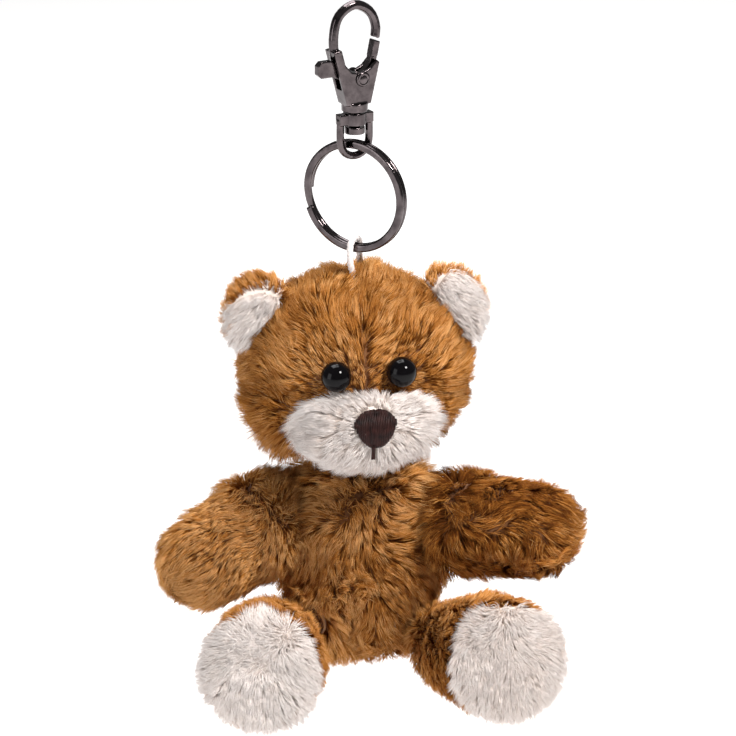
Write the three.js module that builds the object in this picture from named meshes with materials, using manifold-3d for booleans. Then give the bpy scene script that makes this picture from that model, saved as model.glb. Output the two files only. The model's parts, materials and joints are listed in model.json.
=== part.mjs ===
// Plush keychain: a seated teddy bear on a cord loop, a split ring and a swivel trigger hook.
// Units are millimetres, +Z is up and the bear faces -Y.
// The origin is the inside top of the hook, where the keychain hangs.
import * as THREE from 'three';
import { mergeVertices } from 'three/addons/utils/BufferGeometryUtils.js';
import Module from 'manifold-3d';

const wasm = await Module();
wasm.setup();

// ---- driving dimensions ----
const GAP = 0.3;                     // clearance between pieces that rest on each other
const HOOK_TURN = Math.PI / 6;       // hook and bail plane, turned about Z
const RING_TURN = -Math.PI / 6;      // split ring plane, turned about Z

const HOOK_WIRE = 1.1;               // radius of the hook's round loop
const BODY_THICK = 4.2;              // hook body, across its cheeks
const GATE_THICK = 1.7;              // trigger lever plate
const FINGER_THICK = 2.0;            // the part of the trigger that closes the hook
const GATE_OPEN = 25;                // degrees of trigger travel
const RIVET = { x: 0.8, z: -14.7, r: 0.85, headR: 1.6, head: 0.5 };
const SPRING = { x: -1.7, top: -16.9, bottom: -18.6, coilR: 0.7, wireR: 0.18, turns: 4 };
const COLLAR = { r: 2.9, top: -20.0, bottom: -21.9 };
const POST = { r: 1.1, top: -19.7, headTop: -25.4, headBottom: -26.9, headR: 2.2 };
const BAIL = { wire: 0.9, half: 3.5, bar: 1.15, top: -23.6, bend: -28.5, hubR: 2.5, hubTop: -22.3,
  hubBottom: -24.9 };

const RING = { outer: 12.5, radial: 1.8, strip: 0.95, coilGap: 0.25, z: -41.0 };
const CORD = { r: 0.75, spread: 2.1, top: -50.5, neck: 0.95, neckZ: -58.2, knotZ: -62.6, knotR: 2.4 };

const HEAD = { c: [0, 3, -80.7], r: [26, 22.5, 22], yaw: 7, roll: -1.5 };
const SKIN = 2.2;                    // backing cloth and pressed pile
const MUZZLE_SKIN = 1.4;
const FILL_GAP = 0.5;                // between a skin and the filling inside it
const EYE = { x: 7, shift: 0.6, z: 5.2, r: 3.3, shank: 1.0, washerR: 3.4, washer: 0.9 };
const MUZZLE = { c: [-0.3, -19, -6.3], r: [14.6, 10.8, 9.4] };
const NOSE = { x: 0.9, z: -3.8, half: 4.4, height: 7.8, thick: 1.0 };
const MOUTH = { x: 0.1, top: -8.9, bottom: -11.0, wide: 0.8 };
const EAR = { x: 20.8, y: -2, z: { right: 14.2, left: 13.0 }, r: [8.2, 3, 8.8], turn: 14, seam: 0.15 };

const TORSO = { c: [1.5, 3, -126.8], r: [18, 16.5, 23.6], seat: -149.2, shoulders: 1.1, hips: 0.6 };
const NECK_HOLE = 5.5;
const LIMB_GAP = 0.6;                // free space at each limb's seam, which lets it flex
const LIMB_HOLE = 3.5;
const THREAD = 0.35;
const SEAM_RING = { arm: 4.5, leg: 6 };
const ARM_FILL_GAP = 2.2;          // between an arm's filling and the torso, clear of the seam's thread
const ARM_RIGHT = { side: -1, swing: 76, rise: 7.5, r0: 12.0, r1: 10.8, end: [-33.0, -11, -121.8],
  sink: 6, hinge: [-0.419, 0.908, 0], swings: [-4, 15] };
const ARM_LEFT = { side: 1, swing: 76, rise: 8.0, r0: 12.0, r1: 10.6, end: [40.0, -9, -115.4],
  sink: 6, hinge: [-0.332, -0.943, 0], swings: [-15, 18] };
const LEG_RIGHT = { side: -1, swing: 52, rise: -10, sink: 0, r0: 9.5, r1: 13.2, end: [-20.1, -43, -133.4],
  sole: [-0.12, -0.95, 0.28] };
const LEG_LEFT = { side: 1, swing: 48, rise: -10, sink: 0, r0: 9.5, r1: 13.4, end: [32.7, -37.2, -133.7],
  sole: [0.25, -0.93, 0.26] };
const SOLE_THICK = 2.0;

const rad = THREE.MathUtils.degToRad;
const vec = (a) => new THREE.Vector3(a[0], a[1], a[2]);

// ---- materials ----
const material = (color, roughness, metalness) => () =>
  new THREE.MeshStandardMaterial({ color, roughness, metalness });
const gunmetal = material(0x5f5b5c, 0.22, 1.0);
const springSteel = material(0x9a9a9c, 0.3, 1.0);
const whiteCord = material(0xeee6e4, 0.8, 0);
const brownPlush = material(0xb97a42, 0.95, 0);
const whitePlush = material(0xe8dcd4, 0.95, 0);
const filling = material(0xf4f2ee, 1.0, 0);
const brownThread = material(0x8a5529, 0.9, 0);
const blackEye = material(0x0a0808, 0.08, 0);
const washerPlastic = material(0xdcdcd8, 0.5, 0);
const noseThread = material(0x3a201c, 0.7, 0);

// ---- solids ----
function solid(geometry) {
  const plain = geometry.index ? geometry.toNonIndexed() : geometry.clone();
  plain.deleteAttribute('normal');
  plain.deleteAttribute('uv');
  const merged = mergeVertices(plain, 1e-4);
  const vertProperties = new Float32Array(merged.attributes.position.array);
  const triVerts = new Uint32Array(merged.index.array);
  const made = new wasm.Manifold(new wasm.Mesh({ numProp: 3, vertProperties, triVerts }));
  // a profile that runs the other way round encloses a negative volume, so its faces are turned
  return made.volume() > 0
    ? made
    : new wasm.Manifold(new wasm.Mesh({ numProp: 3, vertProperties, triVerts: triVerts.reverse() }));
}

function geometryOf(manifold) {
  const mesh = manifold.getMesh();
  const geometry = new THREE.BufferGeometry();
  geometry.setAttribute('position', new THREE.BufferAttribute(new Float32Array(mesh.vertProperties), 3));
  geometry.setIndex(new THREE.BufferAttribute(new Uint32Array(mesh.triVerts), 1));
  return geometry;
}

function ellipsoid(radii, wide = 22, high = 14) {
  return new THREE.SphereGeometry(1, wide, high).rotateX(Math.PI / 2).scale(radii[0], radii[1], radii[2]);
}

const grown = (radii, by) => radii.map((r) => r + by);

function box(low, high) {
  const size = high.map((value, i) => value - low[i]);
  const middle = high.map((value, i) => (value + low[i]) / 2);
  return new THREE.BoxGeometry(...size).translate(...middle);
}

// A cylinder along Z between two heights.
function column(r, bottom, top, x = 0, y = 0, sides = 20) {
  const height = top - bottom;
  return new THREE.CylinderGeometry(r, r, height, sides).rotateX(Math.PI / 2)
    .translate(x, y, bottom + height / 2);
}

// A plate cut from an outline in the XZ plane, centred on Y = 0.
function plate(points, thick) {
  const shape = new THREE.Shape(points.map((p) => new THREE.Vector2(p[0], p[1])));
  return new THREE.ExtrudeGeometry(shape, { depth: thick, bevelEnabled: false })
    .translate(0, 0, -thick / 2).rotateX(Math.PI / 2);
}

function wire(curve, radius, sides, steps) {
  const section = new THREE.Shape();
  section.absarc(0, 0, radius, 0, Math.PI * 2, false);
  return new THREE.ExtrudeGeometry(section, {
    steps, extrudePath: curve, bevelEnabled: false, curveSegments: sides,
  });
}

const curveThrough = (points) => new THREE.CatmullRomCurve3(points.map(vec));

// ---- hook: the hang point, its sprung trigger and the swivel post ----
const GATE_OUTLINE = [
  [0.6, -13.9], [2.0, -13.2], [3.2, -11.6], [4.2, -6.8], [5.75, -7.35], [4.9, -11.4], [4.0, -14.4],
  [2.6, -16.3], [0.8, -16.8], [-1.2, -16.2], [-5.6, -13.8], [-8.5, -13.8], [-9.3, -13.0],
  [-9.3, -11.0], [-8.5, -10.2], [-6.0, -10.2], [-3.6, -12.7],
];
const BODY_OUTLINE = [
  [-6.1, -8.2], [-4.2, -7.9], [-3.3, -11.2], [-1.8, -13.0], [0.7, -13.5], [2.8, -12.5], [4.3, -10.9],
  [5.0, -11.5], [2.9, -20.3], [-2.9, -20.3],
];
const HOOK_PATH = [
  [-3.9, 0, -13.2], [-4.75, 0, -10.2], [-5.1, 0, -5.2], [-3.8, 0, -0.95], [0, 0, 1.1], [3.8, 0, -0.85],
  [5.15, 0, -4.2], [4.95, 0, -6.6],
];

const rivetCylinder = (r, length) =>
  new THREE.CylinderGeometry(r, r, length, 16).translate(RIVET.x, 0, RIVET.z);

function gateBlank(extra) {
  const lever = solid(plate(GATE_OUTLINE, GATE_THICK + 2 * extra));
  const finger = solid(box([2.6, -FINGER_THICK / 2 - extra, -10.4], [6.2, FINGER_THICK / 2 + extra, -6]));
  const outline = solid(plate(GATE_OUTLINE, FINGER_THICK + 2 * extra));
  return lever.add(outline.intersect(finger));
}

function gateLever() {
  return gateBlank(0).subtract(solid(rivetCylinder(RIVET.r + 0.15, BODY_THICK)));
}

// The room that the lever sweeps, so that the frame stays clear of it at every angle.
function leverSweep() {
  const grow = 1.0 + GAP / 6;
  const blank = geometryOf(gateBlank(GAP)).translate(-RIVET.x, 0, -RIVET.z).scale(grow, 1, grow);
  let sweep = null;
  for (let angle = -2; angle <= GATE_OPEN + 4; angle += 9) {
    const turned = solid(blank.clone().rotateY(-rad(angle)).translate(RIVET.x, 0, RIVET.z));
    sweep = sweep ? sweep.add(turned) : turned;
  }
  return sweep;
}

function hookFrame() {
  const loop = solid(wire(curveThrough(HOOK_PATH), HOOK_WIRE, 4, 26));
  const body = solid(plate(BODY_OUTLINE, BODY_THICK));
  const collar = solid(column(COLLAR.r, COLLAR.bottom, COLLAR.top));
  return loop.add(body).add(collar)
    .subtract(leverSweep())
    .subtract(solid(rivetCylinder(RIVET.r + 0.12, BODY_THICK + 2)))
    .subtract(solid(column(SPRING.coilR + SPRING.wireR + 0.25, SPRING.bottom - 0.3, -15, SPRING.x)))
    .subtract(solid(column(POST.r + 0.15, COLLAR.bottom - 1, POST.top + GAP)));
}

function rivetPin() {
  const half = BODY_THICK / 2 + 0.12;
  const head = (y) => solid(new THREE.CylinderGeometry(RIVET.headR, RIVET.headR, RIVET.head, 16)
    .translate(RIVET.x, y, RIVET.z));
  return solid(rivetCylinder(RIVET.r, 2 * half + 0.2))
    .add(head(half + RIVET.head / 2)).add(head(-half - RIVET.head / 2));
}

function gateSpring() {
  const points = [];
  const perTurn = 6;
  for (let i = 0; i <= SPRING.turns * perTurn; i += 1) {
    const angle = (i / perTurn) * Math.PI * 2;
    const height = SPRING.bottom + (SPRING.top - SPRING.bottom) * (i / (SPRING.turns * perTurn));
    points.push([SPRING.x + SPRING.coilR * Math.cos(angle), SPRING.coilR * Math.sin(angle), height]);
  }
  return solid(wire(curveThrough(points), SPRING.wireR, 2, SPRING.turns * perTurn));
}

function swivelPost() {
  return solid(column(POST.r, POST.headTop - 0.1, POST.top))
    .add(solid(column(POST.headR, POST.headBottom, POST.headTop)));
}

// ---- bail: a bent wire closed by a hub that turns on the post ----
function swivelBail() {
  const points = [[-BAIL.half, 0, BAIL.top], [-BAIL.half, 0, BAIL.bend]];
  for (let i = 1; i < 8; i += 1) {
    const angle = Math.PI + (i / 8) * Math.PI;
    points.push([BAIL.half * Math.cos(angle), 0, BAIL.bend + BAIL.half * Math.sin(angle)]);
  }
  points.push([BAIL.half, 0, BAIL.bend], [BAIL.half, 0, BAIL.top]);
  const middle = (BAIL.hubTop + BAIL.hubBottom) / 2;
  const reach = BAIL.half + 0.6;
  const bar = box([-reach, -BAIL.bar, middle - BAIL.bar], [reach, BAIL.bar, middle + BAIL.bar]);
  return solid(wire(curveThrough(points), BAIL.wire, 4, 24))
    .add(solid(bar))
    .add(solid(column(BAIL.hubR, BAIL.hubBottom, BAIL.hubTop)))
    .subtract(solid(column(POST.r + 0.2, BAIL.hubBottom - 1, BAIL.hubTop + 1)));
}

// ---- split ring: a flat strip wound almost twice, crossing over once ----
function splitRing() {
  const steps = 60;
  const turns = 1.94;
  const pitch = RING.strip + RING.coilGap;
  const middle = RING.outer - RING.radial / 2;
  const points = [];
  for (let i = 0; i <= steps; i += 1) {
    const turn = (i / steps) * turns;
    const cross = THREE.MathUtils.smoothstep(turn, 0.86, 1.08);
    const angle = rad(200) + turn * Math.PI * 2;
    points.push([middle * Math.cos(angle), (cross - 0.5) * pitch, RING.z + middle * Math.sin(angle)]);
  }
  const strip = new THREE.Shape();
  strip.moveTo(-RING.strip / 2, -RING.radial / 2);
  strip.lineTo(RING.strip / 2, -RING.radial / 2);
  strip.lineTo(RING.strip / 2, RING.radial / 2);
  strip.lineTo(-RING.strip / 2, RING.radial / 2);
  strip.closePath();
  return solid(new THREE.ExtrudeGeometry(strip, {
    steps, extrudePath: curveThrough(points), bevelEnabled: false,
  }));
}

// ---- cord: one loop over the ring's lowest point, knotted inside the head ----
function cordPoints() {
  const across = new THREE.Vector2(-Math.sin(RING_TURN), Math.cos(RING_TURN));
  const at = (n, z) => [across.x * n, across.y * n, z];
  const half = [
    [0.8, CORD.knotZ + 1.6], [0.85, CORD.neckZ - 1.6], [CORD.neck, CORD.neckZ], [1.5, -56.2],
    [CORD.spread, -54.2], [CORD.spread, -52.4], [1.95, CORD.top - 1.1], [1.2, CORD.top - 0.25],
  ];
  const front = half.map(([n, z]) => at(-n, z));
  const rear = half.map(([n, z]) => at(n, z)).reverse();
  return [...front, at(0, CORD.top), ...rear];
}

const cordLoop = () => solid(wire(curveThrough(cordPoints()), CORD.r, 4, 32));

function cordKnot() {
  const radii = [CORD.knotR, CORD.knotR, CORD.knotR * 0.8];
  return solid(ellipsoid(radii, 12, 8).translate(0, 0, CORD.knotZ - 0.9));
}

// ---- head, modelled about its own centre and then turned ----
const headOuter = () => solid(ellipsoid(HEAD.r));
const headGrown = (by, wide, high) => solid(ellipsoid(grown(HEAD.r, by), wide, high));

// Where a line at local (x, z) meets the front of the head.
function headFront(x, z, by = 0) {
  const [a, b, c] = grown(HEAD.r, by);
  return -b * Math.sqrt(1 - (x / a) ** 2 - (z / c) ** 2);
}

// Moves a geometry so that its +Z axis leaves the head square to its surface.
function seatEye(geometry, side) {
  const x = EYE.shift + side * EYE.x;
  const y = headFront(x, EYE.z);
  const out = new THREE.Vector3(x / HEAD.r[0] ** 2, y / HEAD.r[1] ** 2, EYE.z / HEAD.r[2] ** 2).normalize();
  const turn = new THREE.Quaternion().setFromUnitVectors(new THREE.Vector3(0, 0, 1), out);
  return geometry.applyQuaternion(turn).translate(x, y, EYE.z);
}

function eye(side) {
  const ball = new THREE.SphereGeometry(EYE.r, 14, 9).rotateX(Math.PI / 2).translate(0, 0, 0.4);
  const shank = column(EYE.shank, -SKIN - GAP - EYE.washer - 1.2, 1, 0, 0, 12);
  return solid(seatEye(ball, side)).subtract(headGrown(GAP)).add(solid(seatEye(shank, side)));
}

const eyeHole = (side) => solid(seatEye(column(EYE.shank + GAP, -SKIN - 3, 3, 0, 0, 12), side));

function eyeWasher(side) {
  const low = -SKIN - 2 * GAP - 0.35 - EYE.washer;
  const disc = column(EYE.washerR, low, low + EYE.washer, 0, 0, 18);
  const bore = column(EYE.shank + 0.15, low - 1, low + EYE.washer + 1, 0, 0, 12);
  return solid(seatEye(disc, side)).subtract(solid(seatEye(bore, side)));
}

function washerPocket(side) {
  const low = -SKIN - GAP - EYE.washer - 2.2;
  return solid(seatEye(column(EYE.washerR + GAP, low, 0, 0, 0, 18), side));
}

// The cord's hole in the crown, turned back so that it stays upright once the head is turned.
function uprightThroughHead(geometry) {
  return solid(geometry.translate(-HEAD.c[0], -HEAD.c[1], -HEAD.c[2]).applyMatrix4(headTurn().invert()));
}

function headTurn() {
  return new THREE.Matrix4().makeRotationZ(rad(HEAD.yaw))
    .multiply(new THREE.Matrix4().makeRotationY(rad(HEAD.roll)));
}

function headShell() {
  return headOuter().subtract(headGrown(-SKIN))
    .subtract(eyeHole(-1)).subtract(eyeHole(1))
    .subtract(uprightThroughHead(column(2.1, CORD.neckZ - 6, CORD.neckZ + 6)))
    .subtract(uprightThroughHead(column(NECK_HOLE, -112, -90, HEAD.c[0], HEAD.c[1])));
}

const BACK_SEAM = 4;
const far = 60;
const facePanel = (side) => headShell().intersect(solid(side < 0
  ? box([-far, -far, -far], [-GAP / 2, BACK_SEAM - GAP / 2, far])
  : box([GAP / 2, -far, -far], [far, BACK_SEAM - GAP / 2, far])));
const headBackPanel = () => headShell()
  .intersect(solid(box([-far, BACK_SEAM + GAP / 2, -far], [far, far, far])));

function headStuffing() {
  return headGrown(-SKIN - FILL_GAP, 16, 10)
    .subtract(washerPocket(-1)).subtract(washerPocket(1))
    .subtract(uprightThroughHead(column(CORD.knotR + 0.5, CORD.knotZ - 3.6, CORD.neckZ + 6)));
}

const muzzleGrown = (by, wide, high) => solid(
  ellipsoid(grown(MUZZLE.r, by), wide, high).translate(...MUZZLE.c));
const muzzleSkin = () => muzzleGrown(0).subtract(muzzleGrown(-MUZZLE_SKIN)).subtract(headGrown(GAP));
const muzzleStuffing = () => muzzleGrown(-MUZZLE_SKIN - FILL_GAP, 14, 8).subtract(headGrown(GAP));

// A rounded triangle of satin stitch that lies on the muzzle.
function noseEmbroidery() {
  const top = NOSE.z + NOSE.height * 0.42;
  const bottom = NOSE.z - NOSE.height * 0.58;
  const outline = new THREE.Shape();
  const crown = top + 0.3;
  const shoulder = NOSE.z + 0.6;
  const flank = NOSE.z - 1.6;
  const w = NOSE.half;
  outline.moveTo(0, top);
  outline.bezierCurveTo(w * 1.1, crown, w * 1.3, shoulder, w * 0.8, flank);
  outline.quadraticCurveTo(w * 0.55, bottom, 0, bottom);
  outline.quadraticCurveTo(-w * 0.55, bottom, -w * 0.8, flank);
  outline.bezierCurveTo(-w * 1.3, shoulder, -w * 1.1, crown, 0, top);
  const prism = new THREE.ExtrudeGeometry(outline, { depth: 16, bevelEnabled: false, curveSegments: 5 })
    .rotateX(Math.PI / 2).translate(NOSE.x, -18, 0);
  return muzzleGrown(GAP + NOSE.thick, 26, 16).subtract(muzzleGrown(GAP, 26, 16)).intersect(solid(prism));
}

function mouthStitch() {
  const left = MOUTH.x - MOUTH.wide / 2;
  const band = box([left, -34, MOUTH.bottom], [left + MOUTH.wide, -20, MOUTH.top]);
  return muzzleGrown(GAP + 0.6, 26, 16).subtract(muzzleGrown(GAP, 26, 16)).intersect(solid(band));
}

// Each ear is two half discs sewn round their rim, white in front and brown behind.
function earHalf(side, front) {
  const seat = (geometry) => geometry.rotateZ(side * rad(-EAR.turn))
    .translate(side * EAR.x, EAR.y, side < 0 ? EAR.z.right : EAR.z.left);
  const ear = solid(seat(ellipsoid(EAR.r, 18, 10)));
  const cut = front
    ? box([-far, -far, -far], [far, -EAR.seam, far])
    : box([-far, EAR.seam, -far], [far, far, far]);
  return ear.intersect(solid(seat(cut))).subtract(headGrown(GAP));
}

// ---- torso: an egg sewn from a belly panel and two back panels ----
// It is squarer than an ellipsoid above and below, which gives the bear its shoulders and hips.
function fullness(x, y, z) {
  const power = 2 + (z > 0 ? TORSO.shoulders : TORSO.hips) * Math.abs(z);
  return (Math.abs(x) ** power + Math.abs(y) ** power + Math.abs(z) ** power) ** (-1 / power);
}

function egg(radii, wide, high) {
  const shape = ellipsoid([1, 1, 1], wide, high);
  const at = shape.attributes.position;
  for (let i = 0; i < at.count; i += 1) {
    const [x, y, z] = [at.getX(i), at.getY(i), at.getZ(i)];
    const out = fullness(x, y, z);
    at.setXYZ(i, x * out * radii[0], y * out * radii[1], z * out * radii[2]);
  }
  return shape;
}

function torsoGrown(by, wide = 22, high = 14) {
  const body = solid(egg(grown(TORSO.r, by), wide, high).translate(...TORSO.c));
  return body.intersect(solid(box([-far, -far, TORSO.seat - by], [far, far, 0])));
}

function torsoShell() {
  return torsoGrown(0).subtract(torsoGrown(-SKIN))
    .subtract(solid(column(NECK_HOLE, -112, -95, HEAD.c[0], HEAD.c[1])));
}

function torsoPanel(low, high) {
  return torsoShell().intersect(solid(box(low, high)));
}

const bellyPanel = () => torsoPanel([-far, -far, -200], [far, TORSO.c[1] - GAP / 2, 0]);
const backPanel = (side) => (side < 0
  ? torsoPanel([-far, TORSO.c[1] + GAP / 2, -200], [TORSO.c[0] - GAP / 2, far, 0])
  : torsoPanel([TORSO.c[0] + GAP / 2, TORSO.c[1] + GAP / 2, -200], [far, far, 0]));
const torsoStuffing = () => torsoGrown(-SKIN - FILL_GAP, 16, 10);

// The point of the torso's surface where a limb is sewn, and the way the surface faces there.
function torsoSeam(limb) {
  const [a, b, c] = TORSO.r;
  const ring = Math.sqrt(1 - (limb.rise / c) ** 2);
  const turn = rad(limb.swing);
  const across = limb.side * a * ring * Math.sin(turn);
  const local = new THREE.Vector3(across, -b * ring * Math.cos(turn), limb.rise);
  const out = new THREE.Vector3(local.x / a ** 2, local.y / b ** 2, local.z / c ** 2).normalize();
  const full = fullness(local.x / a, local.y / b, local.z / c);
  return { point: local.multiplyScalar(full).add(vec(TORSO.c)), out };
}

// ---- limbs: closed tubes swept along a short bent line from the torso ----
function limbCurve(limb) {
  const seam = torsoSeam(limb);
  const start = seam.point.clone().addScaledVector(seam.out, limb.r0 + LIMB_GAP - limb.sink);
  const end = vec(limb.end);
  const reach = start.distanceTo(end);
  const control = limb.sole
    ? end.clone().addScaledVector(vec(limb.sole).normalize(), -reach * 0.5)
    : start.clone().lerp(end, 0.5).addScaledVector(seam.out, 1.5);
  return new THREE.QuadraticBezierCurve3(start, control, end);
}

// Wraps a lathed profile round a curve: the profile's height becomes the distance along it.
function sweep(profile, curve, sides = 16) {
  const length = curve.getLength();
  const points = profile.map(([r, along]) => new THREE.Vector2(Math.max(r, 0), along));
  const lathe = new THREE.LatheGeometry(points, sides);
  const position = lathe.attributes.position;
  const up = new THREE.Vector3(0, 0, 1);
  for (let i = 0; i < position.count; i += 1) {
    const along = position.getY(i);
    const u = THREE.MathUtils.clamp(along / length, 0, 1);
    const tangent = curve.getTangentAt(u);
    const across = new THREE.Vector3().crossVectors(tangent, up).normalize();
    const over = new THREE.Vector3().crossVectors(across, tangent);
    const place = curve.getPointAt(u).addScaledVector(tangent, along - u * length)
      .addScaledVector(across, position.getX(i)).addScaledVector(over, position.getZ(i));
    position.setXYZ(i, place.x, place.y, place.z);
  }
  return lathe;
}

function arc(cx, cy, r, from, to, count) {
  const points = [];
  for (let i = 0; i <= count; i += 1) {
    const angle = from + ((to - from) * i) / count;
    points.push([cx + r * Math.sin(angle), cy - r * Math.cos(angle)]);
  }
  return points;
}

// Outline of an arm from its shoulder to its paw, offset inwards by `inset`.
function armProfile(limb, length, inset, hole) {
  const r0 = limb.r0 - inset;
  const r1 = limb.r1 - inset;
  const first = hole ? Math.asin(hole / r0) : 0;
  return [...arc(0, 0, r0, first, Math.PI / 2, 4), ...arc(0, length, r1, Math.PI / 2, Math.PI, 5)];
}

// Outline of a leg from its hip to the flat end that the sole covers.
function legProfile(limb, length, inset, hole) {
  const r0 = limb.r0 - inset;
  const r1 = limb.r1 - inset;
  const first = hole ? Math.asin(hole / r0) : 0;
  const calf = r0 * 0.15 + r1 * 0.85 + 0.4;
  const foot = [[calf, length * 0.55], [r1, length - 2], [r1 - 0.9, length]];
  return [...arc(0, 0, r0, first, Math.PI / 2, 4), ...foot];
}

// An arm's open end follows the torso, cut back so that the arm swings about its seam without touching it.
function clearOfTorso(arm, solidArm, gap) {
  const seam = torsoSeam(arm).point;
  const hinge = vec(arm.hinge).normalize();
  let room = torsoGrown(gap);
  for (const swing of arm.swings) {
    for (const degrees of [swing / 2, swing]) {
      const turn = new THREE.Matrix4().makeTranslation(seam)
        .multiply(new THREE.Matrix4().makeRotationAxis(hinge, rad(-degrees)))
        .multiply(new THREE.Matrix4().makeTranslation(seam.clone().negate()));
      room = room.add(solid(geometryOf(torsoGrown(gap)).applyMatrix4(turn)));
    }
  }
  return solidArm.subtract(room);
}

function limbSkin(limb, profile) {
  const curve = limbCurve(limb);
  const length = curve.getLength();
  const outer = profile(limb, length, 0, LIMB_HOLE);
  const inner = profile(limb, length, SKIN, LIMB_HOLE - 0.4);
  if (limb.sole) {
    return solid(sweep([...outer, ...inner.reverse(), outer[0]].reverse(), curve));
  }
  inner.pop();
  outer.pop();
  const tip = length + limb.r1;
  const sleeve = solid(sweep([[0, tip], ...outer.reverse(), ...inner, [0, tip - SKIN]], curve));
  return clearOfTorso(limb, sleeve, LIMB_GAP);
}

function limbStuffing(limb, profile) {
  const curve = limbCurve(limb);
  const length = curve.getLength();
  const outline = profile(limb, length, SKIN + FILL_GAP, 0);
  if (limb.sole) {
    outline.push([0, length]);
  }
  const stuffing = solid(sweep(outline, curve, 12));
  return limb.sole ? stuffing : clearOfTorso(limb, stuffing, ARM_FILL_GAP);
}

// The white sole: a shallow domed disc over the open end of the leg.
function solePad(limb) {
  const curve = limbCurve(limb);
  const length = curve.getLength();
  const edge = limb.r1 - 0.6;
  const base = length + GAP;
  const crown = base + SOLE_THICK;
  const outline = [
    [0, base], [edge, base], [edge, base + 0.7], [edge * 0.8, crown - 0.5], [edge * 0.45, crown],
    [0, crown + 0.2],
  ];
  return solid(sweep(outline, curve, 18));
}

// A ring of sewing thread lying on the torso round a seam.
function seamThread(point, out, ring, lift) {
  const torus = new THREE.TorusGeometry(ring, THREAD, 4, 18);
  torus.applyQuaternion(new THREE.Quaternion().setFromUnitVectors(new THREE.Vector3(0, 0, 1), out));
  return solid(torus.translate(...point.clone().addScaledVector(out, lift).toArray()));
}

const limbThread = (limb) => {
  const seam = torsoSeam(limb);
  const ring = limb.sole ? SEAM_RING.leg : SEAM_RING.arm;
  return seamThread(seam.point, seam.out, ring, 0.2).subtract(torsoGrown(GAP));
};

// ---- assembly ----
const keychain = new THREE.Group();

function piece(parent, name, manifold, finish) {
  const mesh = new THREE.Mesh(geometryOf(manifold), finish());
  mesh.name = name;
  parent.add(mesh);
}

const hookGroup = new THREE.Group();
hookGroup.rotation.z = HOOK_TURN;
keychain.add(hookGroup);
piece(hookGroup, 'hook_frame', hookFrame(), gunmetal);
piece(hookGroup, 'gate_lever', gateLever(), gunmetal);
piece(hookGroup, 'rivet_pin', rivetPin(), gunmetal);
piece(hookGroup, 'gate_spring', gateSpring(), springSteel);
piece(hookGroup, 'swivel_post', swivelPost(), gunmetal);
piece(hookGroup, 'swivel_bail', swivelBail(), gunmetal);

const ringGroup = new THREE.Group();
ringGroup.rotation.z = RING_TURN;
keychain.add(ringGroup);
piece(ringGroup, 'split_ring', splitRing(), gunmetal);

piece(keychain, 'cord_loop', cordLoop(), whiteCord);
piece(keychain, 'cord_knot', cordKnot(), whiteCord);

const headGroup = new THREE.Group();
headGroup.applyMatrix4(headTurn());
headGroup.position.set(...HEAD.c);
keychain.add(headGroup);
piece(headGroup, 'head_back_panel', headBackPanel(), brownPlush);
piece(headGroup, 'head_stuffing', headStuffing(), filling);
piece(headGroup, 'muzzle_skin', muzzleSkin(), whitePlush);
piece(headGroup, 'muzzle_stuffing', muzzleStuffing(), filling);
piece(headGroup, 'nose_embroidery', noseEmbroidery(), noseThread);
piece(headGroup, 'mouth_stitch', mouthStitch(), noseThread);
for (const [side, label] of [[-1, 'right'], [1, 'left']]) {
  piece(headGroup, `face_panel_${label}`, facePanel(side), brownPlush);
  piece(headGroup, `eye_${label}`, eye(side), blackEye);
  piece(headGroup, `eye_washer_${label}`, eyeWasher(side), washerPlastic);
  piece(headGroup, `ear_front_${label}`, earHalf(side, true), whitePlush);
  piece(headGroup, `ear_back_${label}`, earHalf(side, false), brownPlush);
}

piece(keychain, 'belly_panel', bellyPanel(), brownPlush);
piece(keychain, 'back_panel_right', backPanel(-1), brownPlush);
piece(keychain, 'back_panel_left', backPanel(1), brownPlush);
piece(keychain, 'torso_stuffing', torsoStuffing(), filling);
for (const [limb, label] of [[ARM_RIGHT, 'right'], [ARM_LEFT, 'left']]) {
  piece(keychain, `arm_skin_${label}`, limbSkin(limb, armProfile), brownPlush);
  piece(keychain, `arm_stuffing_${label}`, limbStuffing(limb, armProfile), filling);
  piece(keychain, `arm_seam_${label}`, limbThread(limb), brownThread);
}
for (const [limb, label] of [[LEG_RIGHT, 'right'], [LEG_LEFT, 'left']]) {
  piece(keychain, `leg_skin_${label}`, limbSkin(limb, legProfile), brownPlush);
  piece(keychain, `leg_stuffing_${label}`, limbStuffing(limb, legProfile), filling);
  piece(keychain, `sole_pad_${label}`, solePad(limb), whitePlush);
  piece(keychain, `leg_seam_${label}`, limbThread(limb), brownThread);
}

export default keychain;
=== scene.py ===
"""Looks of the plush keychain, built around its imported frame.

Metres, +Z up, the bear faces -Y, and the origin is the inside top of the hook.
"""
import json
import math

import bmesh
import bpy
import numpy as np
from mathutils import Euler, Matrix, Vector


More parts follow.
